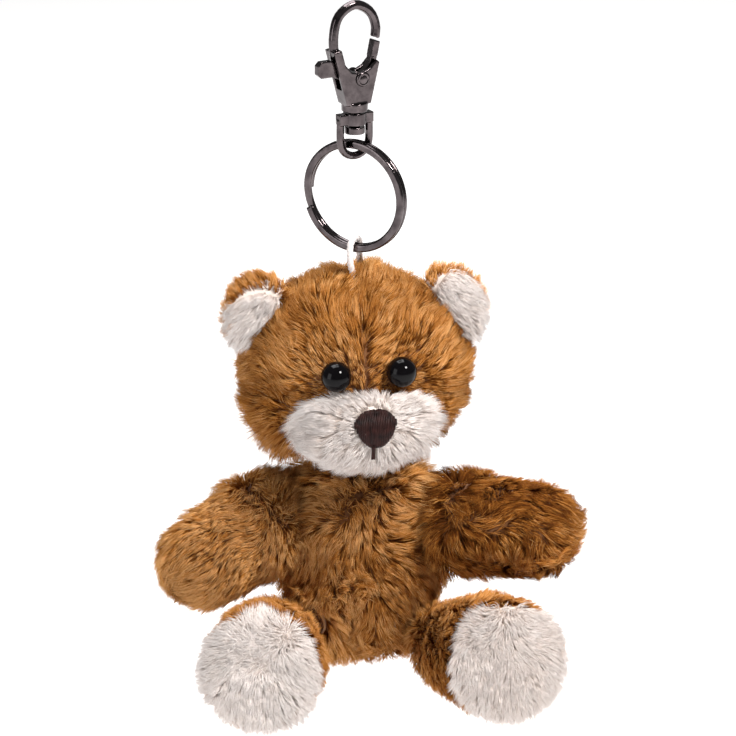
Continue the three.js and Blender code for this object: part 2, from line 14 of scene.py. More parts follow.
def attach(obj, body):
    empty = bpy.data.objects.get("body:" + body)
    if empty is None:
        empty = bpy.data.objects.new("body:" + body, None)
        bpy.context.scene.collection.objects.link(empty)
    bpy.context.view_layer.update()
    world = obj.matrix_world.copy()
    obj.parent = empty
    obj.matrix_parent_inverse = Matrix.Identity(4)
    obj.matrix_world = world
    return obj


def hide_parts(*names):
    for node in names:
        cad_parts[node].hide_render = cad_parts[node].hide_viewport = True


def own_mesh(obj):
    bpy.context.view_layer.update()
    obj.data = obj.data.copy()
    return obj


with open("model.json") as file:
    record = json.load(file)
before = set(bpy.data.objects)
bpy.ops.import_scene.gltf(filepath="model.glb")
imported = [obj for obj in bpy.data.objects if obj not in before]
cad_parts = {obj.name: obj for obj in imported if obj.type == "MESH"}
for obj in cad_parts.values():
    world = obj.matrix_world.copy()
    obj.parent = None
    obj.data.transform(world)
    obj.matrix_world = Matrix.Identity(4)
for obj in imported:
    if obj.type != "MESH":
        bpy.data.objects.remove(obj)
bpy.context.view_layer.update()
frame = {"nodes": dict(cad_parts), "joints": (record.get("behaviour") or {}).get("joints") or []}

MM = 0.001

# ---- driving dimensions, in millimetres as in the CAD ----
HEAD_CENTRE = np.array([0.0, 3.0, -80.7])
HEAD_RADII = np.array([26.0, 22.5, 22.0])
HEAD_TURN = np.array(Euler((0, 0, math.radians(7))).to_matrix()
                     @ Euler((0, math.radians(-1.5), 0)).to_matrix())
EYE = {"x": 7.0, "shift": 0.6, "z": 5.2, "r": 3.3, "out": 0.4}
MUZZLE_CENTRE = np.array([-0.3, -19.0, -6.3])
MUZZLE_RADII = np.array([14.6, 10.8, 9.4])
MUZZLE_RIM_Y = -16.5
NOSE = {"x": 0.9, "z": -3.8, "half": 4.4, "height": 7.8}
MOUTH = {"x": 0.1, "top": -7.9, "bottom": -11.0}
EAR = {"x": 20.8, "y": -2.0, "z": {"right": 14.2, "left": 13.0}, "turn": math.radians(14)}
LINING = {"right": (1.0, -2.0, 7.0, 7.6), "left": (2.6, 0.4, 6.2, 8.6)}
TORSO_CENTRE = np.array([1.5, 3.0, -126.8])
TORSO_RADII = np.array([18.0, 16.5, 23.6])
TORSO_FULLNESS = {"shoulders": 1.1, "hips": 0.6}
RING = {"outer": 12.5, "radial": 1.8, "strip": 0.95, "gap": 0.25, "z": -41.0, "turn": math.radians(-30)}
CORD = {"r": 0.75, "spread": 2.1, "top": -50.6, "neck": 0.95, "neck_z": -58.2, "knot_z": -62.6}
HOOK_TURN = math.radians(30)
COIL = {"x": -1.7, "r": 0.7, "wire": 0.36, "low": -18.6, "high": -17.0, "turns": 4}

# ---- the camera, at the photograph's viewing angle ----
VIEW_ELEVATION = math.radians(20)
VIEW_DISTANCE = 0.70
VIEW_TARGET = Vector((2.86, 0.0, -80.55)) * MM
VIEW_WIDTH = 0.1619


def linked(name, data):
    made = bpy.data.objects.new(name, data)
    bpy.context.scene.collection.objects.link(made)
    return made


def make_camera():
    data = bpy.data.cameras.new("camera")
    data.sensor_width = 36.0
    data.lens = data.sensor_width * VIEW_DISTANCE / VIEW_WIDTH
    data.clip_start = 0.01
    data.clip_end = 50.0
    camera = linked("camera", data)
    away = Vector((0, -math.cos(VIEW_ELEVATION), math.sin(VIEW_ELEVATION)))
    camera.location = VIEW_TARGET + away * VIEW_DISTANCE
    camera.rotation_euler = (-away).to_track_quat("-Z", "Y").to_euler()
    bpy.context.scene.camera = camera


make_camera()
bpy.context.scene.view_settings.view_transform = "Standard"


# ---- materials ----
def principled(name, colour, roughness, metallic=0.0, **sockets):
    material = bpy.data.materials.new(name)
    material.use_nodes = True
    shader = material.node_tree.nodes["Principled BSDF"]
    shader.inputs["Base Color"].default_value = (*colour, 1.0)
    shader.inputs["Roughness"].default_value = roughness
    shader.inputs["Metallic"].default_value = metallic
    for socket, value in sockets.items():
        shader.inputs[socket.replace("_", " ")].default_value = value
    return material


def node(material, kind, **inputs):
    made = material.node_tree.nodes.new(kind)
    for socket, value in inputs.items():
        made.inputs[socket.replace("_", " ")].default_value = value
    return made


def link(material, source, output, target, socket):
    material.node_tree.links.new(source.outputs[output], target.inputs[socket])


def mottle(material, light, dark, scale, roughness=None, bump=0.0, bump_scale=None, spread=(0.0, 1.0)):
    """Adds noise to a material: colour between dark and light, a roughness range and a fine bump.

    `spread` is the part of the noise's range that runs from dark to light.
    """
    shader = material.node_tree.nodes["Principled BSDF"]
    place = node(material, "ShaderNodeTexCoord")
    noise = node(material, "ShaderNodeTexNoise", Scale=scale, Detail=6.0)
    link(material, place, "Object", noise, "Vector")
    ramp = node(material, "ShaderNodeMix")
    ramp.data_type = "RGBA"
    ramp.inputs[6].default_value = (*dark, 1.0)
    ramp.inputs[7].default_value = (*light, 1.0)
    part = node(material, "ShaderNodeMapRange")
    part.inputs["From Min"].default_value, part.inputs["From Max"].default_value = spread
    link(material, noise, "Fac", part, "Value")
    link(material, part, "Result", ramp, 0)
    link(material, ramp, 2, shader, "Base Color")
    if roughness:
        range_of = node(material, "ShaderNodeMapRange")
        range_of.inputs["To Min"].default_value = roughness[0]
        range_of.inputs["To Max"].default_value = roughness[1]
        link(material, noise, "Fac", range_of, "Value")
        link(material, range_of, "Result", shader, "Roughness")
    if bump:
        fine = node(material, "ShaderNodeTexNoise", Scale=bump_scale, Detail=8.0)
        link(material, place, "Object", fine, "Vector")
        relief = node(material, "ShaderNodeBump", Strength=bump, Distance=0.0001)
        link(material, fine, "Fac", relief, "Height")
        link(material, relief, "Normal", shader, "Normal")
    return material


def metal_material(name, light, dark, roughness):
    material = principled(name, light, roughness[0], 1.0)
    return mottle(material, light, dark, 420.0, roughness, bump=0.5, bump_scale=700.0, spread=(0.25, 0.75))


def cloth_material(name, light, dark):
    material = principled(name, light, 0.9, Sheen_Weight=0.2)
    return mottle(material, light, dark, 900.0, bump=0.8, bump_scale=3500.0)


GUNMETAL = metal_material("gunmetal", (0.125, 0.106, 0.109), (0.045, 0.037, 0.039), (0.05, 0.16))
STEEL = metal_material("spring_steel", (0.55, 0.55, 0.56), (0.35, 0.35, 0.36), (0.2, 0.35))
FILL_FIBRE = cloth_material("filling_fibre", (0.92, 0.91, 0.89), (0.78, 0.77, 0.75))
CORD_YARN = cloth_material("cord_yarn", (0.88, 0.83, 0.82), (0.72, 0.66, 0.65))
NOSE_YARN = mottle(principled("nose_yarn", (0.022, 0.007, 0.006), 0.4, Specular_IOR_Level=0.16),
                   (0.036, 0.012, 0.010), (0.005, 0.002, 0.002), 700.0, (0.34, 0.5), spread=(0.3, 0.7))
BROWN_YARN = cloth_material("brown_yarn", (0.30, 0.15, 0.06), (0.2, 0.09, 0.03))
WASHER = mottle(principled("washer_plastic", (0.8, 0.8, 0.78), 0.5),
                (0.82, 0.82, 0.8), (0.74, 0.74, 0.72), 500.0, (0.4, 0.6))
EYE_GLOSS = mottle(principled("eye_gloss", (0.003, 0.002, 0.003), 0.04, IOR=1.22),
                   (0.004, 0.003, 0.004), (0.001, 0.001, 0.001), 300.0, (0.03, 0.06))


def shade_set(name, tones):
    """Fur shades from dark to light. Each is plain: the variation comes from strand to strand."""
    return [principled(f"{name}_{i}", tone, 0.7, Specular_IOR_Level=0.12) for i, tone in enumerate(tones)]


BROWN = {
    "slot": "brown_plush",
    "cloth": cloth_material("brown_backing", (0.23, 0.095, 0.028), (0.13, 0.045, 0.012)),
    "shades": shade_set("brown_fur", [
        (0.16, 0.048, 0.006), (0.28, 0.094, 0.012), (0.40, 0.150, 0.025),
        (0.50, 0.208, 0.046), (0.61, 0.285, 0.080), (0.72, 0.39, 0.15),
    ]),
}
WHITE = {
    "slot": "white_plush",
    "cloth": cloth_material("white_backing", (0.86, 0.79, 0.74), (0.76, 0.68, 0.62)),
    "shades": shade_set("white_fur", [
        (0.72, 0.61, 0.54), (0.78, 0.68, 0.62), (0.83, 0.74, 0.69),
        (0.87, 0.79, 0.75), (0.90, 0.83, 0.79), (0.94, 0.88, 0.85),
    ]),
}


# ---- mesh building ----
def add_object(name, mesh, *materials):
    for material in materials:
        mesh.materials.append(material)
    return linked(name, mesh)


def smooth_shaded(mesh):
    mesh.polygons.foreach_set("use_smooth", [True] * len(mesh.polygons))
    return mesh


def mesh_from(name, points_mm, faces):
    mesh = bpy.data.meshes.new(name)
    mesh.from_pydata([tuple(MM * value for value in point) for point in points_mm], [], faces)
    smooth_shaded(mesh).update()
    return mesh


def frames_along(path, first):
    """Normal and binormal at each point, the normal carried along from the first."""
    tangents = np.gradient(path, axis=0)
    tangents /= np.linalg.norm(tangents, axis=1)[:, None]
    normals = np.empty_like(path)
    normal = np.asarray(first, float)
    for i, tangent in enumerate(tangents):
        normal = normal - tangent * normal.dot(tangent)
        normal /= np.linalg.norm(normal)
        normals[i] = normal
    return normals, np.cross(tangents, normals)


def sweep(name, path, section, first=(0, 1, 0), closed=False):
    """Skins a section, a list of (across, over) points, along a path in millimetres."""
    normals, binormals = frames_along(path, first)
    sides = len(section)
    points = [
        place + (normals[i] * across + binormals[i] * over)
        for i, place in enumerate(path) for across, over in section
    ]
    faces = []
    rows = len(path) if closed else len(path) - 1
    for i in range(rows):
        here, there = i * sides, ((i + 1) % len(path)) * sides
        for k in range(sides):
            nxt = (k + 1) % sides
            faces.append((here + k, here + nxt, there + nxt, there + k))
    if not closed:
        faces.append(tuple(range(sides))[::-1])
        last = (len(path) - 1) * sides
        faces.append(tuple(range(last, last + sides)))
    return faced_out(mesh_from(name, points, faces))


def faced_out(mesh):
    work = bmesh.new()
    work.from_mesh(mesh)
    bmesh.ops.recalc_face_normals(work, faces=work.faces)
    work.to_mesh(mesh)
    work.free()
    return mesh


def gathered(meshes):
    """A work mesh that holds all the given ones."""
    work = bmesh.new()
    for mesh in meshes:
        work.from_mesh(mesh)
    return work


def written(name, work):
    mesh = bpy.data.meshes.new(name)
    work.to_mesh(mesh)
    work.free()
    return mesh


def one_mesh(name, meshes):
    """Joins swept meshes in one and removes them."""
    made = smooth_shaded(written(name, gathered(meshes)))
    for mesh in meshes:
        bpy.data.meshes.remove(mesh)
    return made


def node_meshes(nodes):
    return [frame["nodes"][each].data for each in nodes]


def round_section(radius, sides):
    angles = [2 * math.pi * k / sides for k in range(sides)]
    return [(radius * math.cos(a), radius * math.sin(a)) for a in angles]


def strip_section(wide, deep, corner):
    """A flat strip's section with rounded corners."""
    points = []
    for centre_x, centre_y, start in ((1, 1, 0), (-1, 1, 90), (-1, -1, 180), (1, -1, 270)):
        for step in range(4):
            angle = math.radians(start + 30 * step)
            points.append((centre_x * (wide / 2 - corner) + corner * math.cos(angle),
                           centre_y * (deep / 2 - corner) + corner * math.sin(angle)))
    return points


def distance_along(path):
    return np.concatenate([[0], np.cumsum(np.linalg.norm(np.diff(path, axis=0), axis=1))])


def smooth_path(points, count):
    """A Catmull-Rom curve through given points, resampled at even steps."""
    full = np.vstack([2 * points[0] - points[1], *points, 2 * points[-1] - points[-2]])
    fine = []
    for i in range(1, len(full) - 2):
        a, b, c, d = full[i - 1], full[i], full[i + 1], full[i + 2]
        for t in np.linspace(0, 1, 24, endpoint=False):
            fine.append(0.5 * (2 * b + (c - a) * t + (2 * a - 5 * b + 4 * c - d) * t * t
                               + (3 * b - a - 3 * c + d) * t ** 3))
    fine.append(full[-2])
    fine = np.array(fine)
    lengths = distance_along(fine)
    even = np.linspace(0, lengths[-1], count)
    return np.stack([np.interp(even, lengths, fine[:, axis]) for axis in range(3)], axis=1)


def lathe(name, profile, sides):
    """Turns a profile of (radius, height) points, from axis to axis, about Z."""
    points = [(0, 0, profile[0][1])]
    for radius, height in profile[1:-1]:
        points += [(x, y, height) for x, y in round_section(radius, sides)]
    points.append((0, 0, profile[-1][1]))
    rings = len(profile) - 2
    faces = [(0, 1 + (k + 1) % sides, 1 + k) for k in range(sides)]
    for ring in range(rings - 1):
        low = 1 + ring * sides
        faces += [(low + k, low + (k + 1) % sides, low + sides + (k + 1) % sides, low + sides + k)
                  for k in range(sides)]
    last = 1 + (rings - 1) * sides
    faces += [(last + k, last + (k + 1) % sides, len(points) - 1) for k in range(sides)]
    return faced_out(mesh_from(name, points, faces))


def add_modifier(piece, kind, **settings):
    modifier = piece.modifiers.new(kind.lower(), kind)
    for setting, value in settings.items():
        setattr(modifier, setting, value)


def apply_modifiers(piece):
    depsgraph = bpy.context.evaluated_depsgraph_get()
    made = bpy.data.meshes.new_from_object(piece.evaluated_get(depsgraph))
    piece.modifiers.clear()
    piece.data = smooth_shaded(made)


def remesh(piece, voxel, rounds):
    """Runs a piece's facets together in an even grid, with its edges smoothed over some rounds."""
    add_modifier(piece, "REMESH", mode="VOXEL", voxel_size=voxel * MM)
    if rounds:
        add_modifier(piece, "SMOOTH", iterations=rounds)
    apply_modifiers(piece)


def cast(name, source, body, voxel, rounds):
    """A die-cast or bent part: the CAD solid with its facets run together and its edges rounded."""
    work = gathered(node_meshes([source]))
    bmesh.ops.remove_doubles(work, verts=work.verts, dist=1e-7)
    piece = add_object(name, written(name, work), GUNMETAL)
    remesh(piece, voxel, rounds)
    keep(piece, body, "gunmetal", source)


def keep(piece, body, slot, *replaced):
    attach(piece, body)
    if replaced:
        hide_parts(*replaced)


# ---- hardware ----
def turned(mesh, angle):
    mesh.transform(Matrix.Rotation(angle, 4, "Z"))
    return mesh


def hardware():
    cast("hook_casting", "hook_frame", "hook", voxel=0.11, rounds=16)
    cast("trigger_casting", "gate_lever", "gate", voxel=0.1, rounds=12)
    cast("bail_wire", "swivel_bail", "bail", voxel=0.1, rounds=9)
    cast("swivel_rivet", "swivel_post", "hook", voxel=0.1, rounds=8)
    keep(add_object("cheek_rivet", cheek_rivet(), GUNMETAL), "hook", "gunmetal", "rivet_pin")
    coil = add_object("return_coil", return_coil(), STEEL)
    keep(coil, "hook", "spring_steel", "gate_spring")
    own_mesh(coil)
    keep(add_object("key_ring", key_ring(), GUNMETAL), "ring", "gunmetal", "split_ring")


RIVET = {"x": 0.8, "z": -14.7, "half": 2.22, "head": 0.5, "r": 1.6}


def cheek_rivet():
    """A rivet with a low domed head, ringed by a shallow groove, on each cheek."""
    half, radius = RIVET["half"], RIVET["r"]
    crown = half + RIVET["head"]
    side = [(0, crown), (0.55, crown - 0.03), (0.85, crown - 0.1), (0.95, crown - 0.2), (1.05, crown - 0.1),
            (1.35, crown - 0.06), (radius, half + 0.2), (radius, half), (0.85, half)]
    mirror = [(r, -z) for r, z in reversed(side)]
    mesh = lathe("cheek_rivet", side + mirror, 48)
    mesh.transform(Matrix.Rotation(math.pi / 2, 4, "X"))
    mesh.transform(Matrix.Translation(Vector((RIVET["x"], 0, RIVET["z"])) * MM))
    return turned(mesh, HOOK_TURN)


def return_coil():
    wire = round_section(COIL["wire"] / 2, 10)
    t = np.linspace(0, 1, 100)
    angle = t * COIL["turns"] * 2 * math.pi
    path = np.stack([COIL["x"] + COIL["r"] * np.cos(angle), COIL["r"] * np.sin(angle),
                     COIL["low"] + (COIL["high"] - COIL["low"]) * t], axis=1)
    return turned(sweep("return_coil", path, wire, first=(0, 0, 1)), HOOK_TURN)


WINDING = {"turns": 1.94, "cross_at": 0.86, "cross_over": 0.22, "start": math.radians(200), "corner": 0.42}


def key_ring():
    """Flat strip wound almost twice, with both ends showing and one crossing."""
    middle = RING["outer"] - RING["radial"] / 2
    turn = np.linspace(0, WINDING["turns"], 420)
    ease = np.clip((turn - WINDING["cross_at"]) / WINDING["cross_over"], 0, 1)
    cross = ease * ease * (3 - 2 * ease)
    angle = WINDING["start"] + turn * 2 * math.pi
    pitch = RING["strip"] + RING["gap"]
    path = np.stack([middle * np.cos(angle), (cross - 0.5) * pitch, RING["z"] + middle * np.sin(angle)],
                    axis=1)
    section = strip_section(RING["strip"] + 0.1, RING["radial"], WINDING["corner"])
    return turned(sweep("key_ring", path, section), RING["turn"])


# ---- cord ----
def cord_path():
    """The same route as the CAD's: up the front, over the ring's lowest point and down behind."""
    half = [
        (0.8, CORD["knot_z"] + 1.6), (0.85, CORD["neck_z"] - 1.6), (CORD["neck"], CORD["neck_z"]),
        (1.75, -56.4), (CORD["spread"], -54.4), (CORD["spread"], -52.8), (1.85, CORD["top"] - 1.0),
        (1.1, CORD["top"] - 0.22),
    ]
    across = np.array([-math.sin(RING["turn"]), math.cos(RING["turn"]), 0.0])
    front = [-n * across + np.array([0, 0, z]) for n, z in half]
    rear = [n * across + np.array([0, 0, z]) for n, z in reversed(half)]
    return smooth_path([*front, np.array([0, 0, CORD["top"]]), *rear], 160)


def twisted(name, path, cord_radius, strands, pitch):
    """A cord of several yarns twisted round each other."""
    normals, binormals = frames_along(path, (1, 0, 0))
    yarn = cord_radius * 0.56
    offset = cord_radius - yarn
    yarns = []
    for strand in range(strands):
        angle = distance_along(path) / pitch * 2 * math.pi + strand * 2 * math.pi / strands
        spiral = path + offset * (normals * np.cos(angle)[:, None] + binormals * np.sin(angle)[:, None])
        yarns.append(sweep("yarn", spiral, round_section(yarn, 10), first=(1, 0, 0)))
    return one_mesh(name, yarns)


def cord():
    mesh = twisted("white_cord", cord_path(), CORD["r"], strands=3, pitch=3.4)
    keep(add_object("white_cord", mesh, CORD_YARN), "cord", "white_cord", "cord_loop")
    t = np.linspace(0, 2 * math.pi, 120, endpoint=False)
    trefoil = [np.sin(t) + 2 * np.sin(2 * t), np.cos(t) - 2 * np.cos(2 * t), -1.3 * np.sin(3 * t)]
    knot = np.stack(trefoil, axis=1) * 0.52 + np.array([0, 0, CORD["knot_z"] - 0.9])
    mesh = sweep("cord_stopper_knot", knot, round_section(0.6, 12), closed=True)
    keep(add_object("cord_stopper_knot", mesh, CORD_YARN), "cord", "white_cord", "cord_knot")


# ---- stuffed cloth forms ----
def hull_of(name, nodes):
    work = gathered(node_meshes(nodes))
    bmesh.ops.convex_hull(work, input=work.verts)
    loose = [v for v in work.verts if not v.link_faces]
    bmesh.ops.delete(work, geom=loose, context="VERTS")
    bmesh.ops.recalc_face_normals(work, faces=work.faces)
    return written(name, work)


def per_vertex(mesh, value):
    flat = np.empty(len(mesh.vertices) * 3)
    mesh.vertices.foreach_get(value, flat)
    return flat.reshape(-1, 3)


def coords(mesh):
    return per_vertex(mesh, "co")


def normals_of(mesh):
    return per_vertex(mesh, "normal")


def set_coords(mesh, points):
    mesh.vertices.foreach_set("co", np.ascontiguousarray(points, dtype=np.float64).ravel())
    mesh.update()


SIM_SCALE = 20.0
SIM_FRAMES = 14


def inflate(piece, pinned, cap_mm):
    """Blows the cloth up under light pressure while its sewn seams stay put."""
    mesh = piece.data
    start = coords(mesh).copy()
    set_coords(mesh, start * SIM_SCALE)
    group = piece.vertex_groups.new(name="seams")
    group.add([int(i) for i in np.nonzero(pinned)[0]], 1.0, "REPLACE")
    modifier = piece.modifiers.new("cloth", "CLOTH")
    settings = modifier.settings
    settings.quality = 4
    settings.mass = 0.3
    settings.tension_stiffness = 12
    settings.compression_stiffness = 8
    settings.bending_stiffness = 1.5
    settings.use_pressure = True
    settings.uniform_pressure_force = 4.0
    settings.vertex_group_mass = "seams"
    settings.effector_weights.gravity = 0.0
    modifier.collision_settings.use_collision = False
    modifier.collision_settings.use_self_collision = False
    modifier.point_cache.frame_start = 1
    modifier.point_cache.frame_end = SIM_FRAMES
    for step in range(1, SIM_FRAMES + 1):
        bpy.context.scene.frame_set(step)
    apply_modifiers(piece)
    bpy.context.scene.frame_set(1)
    piece.vertex_groups.clear()
    moved = coords(piece.data) / SIM_SCALE - start
    distance = np.linalg.norm(moved, axis=1)
    limit = np.minimum(1.0, cap_mm * MM / np.maximum(distance, 1e-9))
    set_coords(piece.data, start + moved * limit[:, None])


def no_seam(points):
    return np.zeros(len(points), dtype=bool)


def stuffed(name, nodes, body, plush, seam=no_seam, inset=1.9, voxel=1.15, cap=1.1, fill=0.8):
    """A filled cloth form: a slightly small hull, sewn along its seams and blown up between them."""
    piece = add_object(name, hull_of(name, nodes), plush["cloth"])
    remesh(piece, voxel, rounds=6)
    mesh = piece.data
    set_coords(mesh, coords(mesh) - normals_of(mesh) * inset * MM)
    pinned = seam(coords(mesh) / MM)
    inflate(piece, pinned, cap)
    add_modifier(piece, "SMOOTH", iterations=2)
    add_modifier(piece, "SUBSURF", levels=1, render_levels=1)
    apply_modifiers(piece)
    keep(piece, body, plush["slot"], *nodes)
    return piece


FILL_INSET = 1.4


def filling(name, node_name, body):
    """Loose fibre: the CAD's filling with a lumpy, matted surface."""
    piece = add_object(name, hull_of(name, [node_name]), FILL_FIBRE)
    remesh(piece, voxel=1.3, rounds=0)
    mesh = piece.data
    points = coords(mesh)
    lumps = wobble(points / MM, 3.0, 11)[:, :1] * 0.35 + wobble(points / MM, 1.2, 12)[:, :1] * 0.15
    set_coords(mesh, points + normals_of(mesh) * (lumps - FILL_INSET) * MM)
    keep(piece, body, "filling", node_name)
    return piece


def wobble(points, size, seed):
    """Smooth noise, about -1 to 1 in each axis, whose lumps are about `size` across."""
    rng = np.random.default_rng(seed)
    total = np.zeros((len(points), 3))
    for _ in range(4):
        waves = rng.normal(size=(3, 3)) * (1.6 / size)
        total += np.sin(points @ waves + rng.uniform(0, 2 * math.pi, 3))
    return total / 2.0


# ---- fur ----
def unit(vectors):
    return vectors / np.maximum(np.linalg.norm(vectors, axis=-1, keepdims=True), 1e-9)


def ramp(values, start, span):
    """0 up to the start, then rising to 1 over the span."""
    return np.clip((values - start) / span, 0, 1)


def bell(distance, size):
    return np.exp(-(distance / size) ** 2)


def within(points, radii, centre=0.0):
    """Whether points lie inside an ellipsoid."""
    return (((points - centre) / radii) ** 2).sum(axis=1) < 1


def surface_samples(piece, per_mm2, rng, inside):
    """Random root points (mm) and normals, spread evenly over a piece's surface or the part of it inside."""
    mesh = piece.data
    mesh.calc_loop_triangles()
    tris = np.empty(len(mesh.loop_triangles) * 3, dtype=np.int32)
    mesh.loop_triangles.foreach_get("vertices", tris)
    tris = tris.reshape(-1, 3)
    points = coords(mesh) / MM
    normals = normals_of(mesh)
    a, b, c = points[tris[:, 0]], points[tris[:, 1]], points[tris[:, 2]]
    if inside is not None:
        chosen = inside((a + b + c) / 3)
        tris, a, b, c = tris[chosen], a[chosen], b[chosen], c[chosen]
    area = np.linalg.norm(np.cross(b - a, c - a), axis=1) / 2
    count = int(area.sum() * per_mm2)
    pick = rng.choice(len(tris), size=count, p=area / area.sum())
    u, v = rng.random(count), rng.random(count)
    over = u + v > 1
    u[over], v[over] = 1 - u[over], 1 - v[over]
    w = 1 - u - v
    weights = np.stack([w, u, v], axis=1)
    corners = tris[pick]
    root = sum(points[corners[:, k]] * weights[:, k:k + 1] for k in range(3))
    normal = unit(sum(normals[corners[:, k]] * weights[:, k:k + 1] for k in range(3)))
    return root, normal


def nearest(points, targets):
    """Index of the nearest target to each point."""
    best = np.empty(len(points), dtype=np.int64)
    square = (targets ** 2).sum(axis=1)
    for low in range(0, len(points), 4000):
        part = points[low:low + 4000]
        best[low:low + 4000] = (square[None] - 2 * part @ targets.T).argmin(axis=1)
    return best


ROOT_DEPTH = 0.35


def lay_strands(root, normal, nap, reach, rise):
    """Bend and tip points of hairs that leave the cloth and lean over along the nap."""
    tip = root + normal * (reach * rise)[:, None] + nap * (reach * np.sqrt(1 - rise ** 2))[:, None]
    bend = root + normal * (reach * (0.30 + 0.3 * rise))[:, None] + nap * (reach * 0.25)[:, None]
    return bend, tip


def fur(name, skin, body, plush, flow, seed, per_mm2, length, inside=None, trim=None, raised=None,
        width=0.08, lift=0.42, clump=0.55, clump_mm=1.3, tousle=0.35, tone=0.0, contrast=1.0):
    """Pile as real strands: tapered three-sided hairs that lean with the nap and gather into locks.

    The functions take root points in millimetres: `flow` gives the nap's direction, `inside` says which part
    of the skin is covered, `trim` scales the length and `raised` adds to `lift`, how upright the strands are.
    """
    rng = np.random.default_rng(seed)
    root, normal = surface_samples(skin, per_mm2, rng, inside)
    size = np.ones(len(root))
    if trim is not None:
        size = trim(root)
        kept = size > 0.05
        root, normal, size = root[kept], normal[kept], size[kept]
    count = len(root)
    nap = flow(root) + wobble(root, 5.0, seed + 100) * tousle
    nap += rng.normal(size=(count, 3)) * 0.14
    nap = unit(nap - normal * (nap * normal).sum(axis=1, keepdims=True))
    reach = length * size * rng.uniform(0.72, 1.12, count)
    rise = lift + 0.14 * wobble(root, 3.0, seed + 200)[:, 0] + rng.normal(size=count) * 0.06
    if raised is not None:
        rise += raised(root)
    rise = np.clip(rise, 0.12, 0.96)
    bend, tip = lay_strands(root, normal, nap, reach, rise)
    # the tips of neighbouring strands gather into locks
    guides = rng.choice(count, size=max(8, int(count / (per_mm2 * clump_mm ** 2))), replace=False)
    lock = nearest(root, root[guides])
    pull = clump * rng.uniform(0.5, 1.3, count)
    lock_twist = rng.normal(size=(len(guides), 3))[lock] * 0.35
    tip += (tip[guides][lock] + lock_twist + rng.normal(size=(count, 3)) * 0.18 - tip) * pull[:, None]
    bend += (root[guides][lock] - root) * (pull * 0.25)[:, None] + wobble(root, 1.4, seed + 300) * 0.18
    # a lock shares one tone and each hair strays a little from it; the hairs' roots are painted darker as
    # painted shade deep in the pile and their tips lighter as painted light
    shade = (rng.normal(size=len(guides))[lock] * 0.7 + rng.normal(size=count) * 0.75) * contrast
    shade += wobble(root, 9.0, 77)[:, 0] * 0.45 * contrast + (len(plush["shades"]) - 1) * 0.58 + tone
    curve = root - normal * ROOT_DEPTH, bend, tip
    thick = width * rng.uniform(0.75, 1.25, count)
    keep(written_fur(name, curve, normal, thick, plush["shades"], shade), body, plush["slot"])


SIDES = 3
RINGS = ((0.0, 1.0), (0.5, 0.85))
# shade steps for each ring of a strand: the root ring is painted darker as painted shade deep in the pile,
# the tip ring painted lighter as painted light
PAINTED_ROOT_SHADE_TIP_LIGHT = (-1.3, 0.8)


def strand_points(curve, normal, thick):
    start, bend, tip = curve
    points = np.empty((len(start), len(RINGS) * SIDES + 1, 3))
    for ring, (t, taper) in enumerate(RINGS):
        centre = start * (1 - t) ** 2 + bend * (2 * t * (1 - t)) + tip * t ** 2
        heading = unit((bend - start) * (1 - t) + (tip - bend) * t)
        side = unit(np.cross(heading, normal) + 1e-6)
        over = np.cross(side, heading)
        for k in range(SIDES):
            angle = 2 * math.pi * k / SIDES + math.pi / 2
            offset = side * math.cos(angle) + over * math.sin(angle)
            points[:, ring * SIDES + k] = centre + offset * (thick * taper)[:, None]
    points[:, -1] = tip
    return points


def strand_faces():
    """Triangles of one closed strand, and the ring that each belongs to."""
    faces, rings = [(2, 1, 0)], [0]
    for ring in range(len(RINGS) - 1):
        for k in range(SIDES):
            low, high = ring * SIDES, (ring + 1) * SIDES
            nxt = (k + 1) % SIDES
            faces += [(low + k, low + nxt, high + nxt), (low + k, high + nxt, high + k)]
            rings += [ring, ring]
    top = (len(RINGS) - 1) * SIDES
    faces += [(top + k, top + (k + 1) % SIDES, top + SIDES) for k in range(SIDES)]
    rings += [len(RINGS) - 1] * SIDES
    return np.array(faces), np.array(rings)


def written_fur(name, curve, normal, thick, shades, shade):
    points = strand_points(curve, normal, thick)
    pattern, rings = strand_faces()
    count, per = points.shape[:2]
    loops = (pattern[None] + (np.arange(count) * per)[:, None, None]).reshape(-1).astype(np.int32)
    mesh = bpy.data.meshes.new(name)
    mesh.vertices.add(count * per)
    mesh.vertices.foreach_set("co", (points * MM).astype(np.float32).ravel())
    mesh.loops.add(len(loops))
    mesh.loops.foreach_set("vertex_index", loops)
    faces = count * len(pattern)
    mesh.polygons.add(faces)
    mesh.polygons.foreach_set("loop_start", np.arange(faces, dtype=np.int32) * 3)
    mesh.polygons.foreach_set("use_smooth", np.ones(faces, dtype=bool))
    # each face takes its strand's tone plus its ring's step: painted shade at the root, painted light at the
    # tip
    shade = shade[:, None] + np.array(PAINTED_ROOT_SHADE_TIP_LIGHT)[rings][None]
    slots = np.clip(np.rint(shade), 0, len(shades) - 1).astype(np.int32)
    mesh.polygons.foreach_set("material_index", slots.ravel())
    mesh.update(calc_edges=True)
    return add_object(name, mesh, *shades)


def furry_quarters(stems, skin, body, flow, front, right, seed, **finish):
    """Brown pile in four pieces, the right and left of the front and of the back."""
    for stem, at_front in zip(stems, (True, False)):
        for label, at_right in (("right", True), ("left", False)):
            fur(f"{stem}_{label}", skin, body, BROWN, flow, seed,
                inside=lambda p: (front(p) == at_front) & (right(p) == at_right), **finish)
            seed += 1


# ---- head ----
SEAM_HALF = 0.8
HEAD_SEAM_Y = 4
BRIDGE = np.array([0.0, -21.0, -2.0])


def to_head(points):
    """World millimetres to the head's own frame."""
    return (points - HEAD_CENTRE) @ HEAD_TURN


def from_head(points):
    return points @ HEAD_TURN.T + HEAD_CENTRE


def eye_centre(side):
    x = EYE["shift"] + side * EYE["x"]
    y = -HEAD_RADII[1] * math.sqrt(1 - (x / HEAD_RADII[0]) ** 2 - (EYE["z"] / HEAD_RADII[2]) ** 2)
    spot = np.array([x, y, EYE["z"]])
    return spot, unit(spot / HEAD_RADII ** 2)


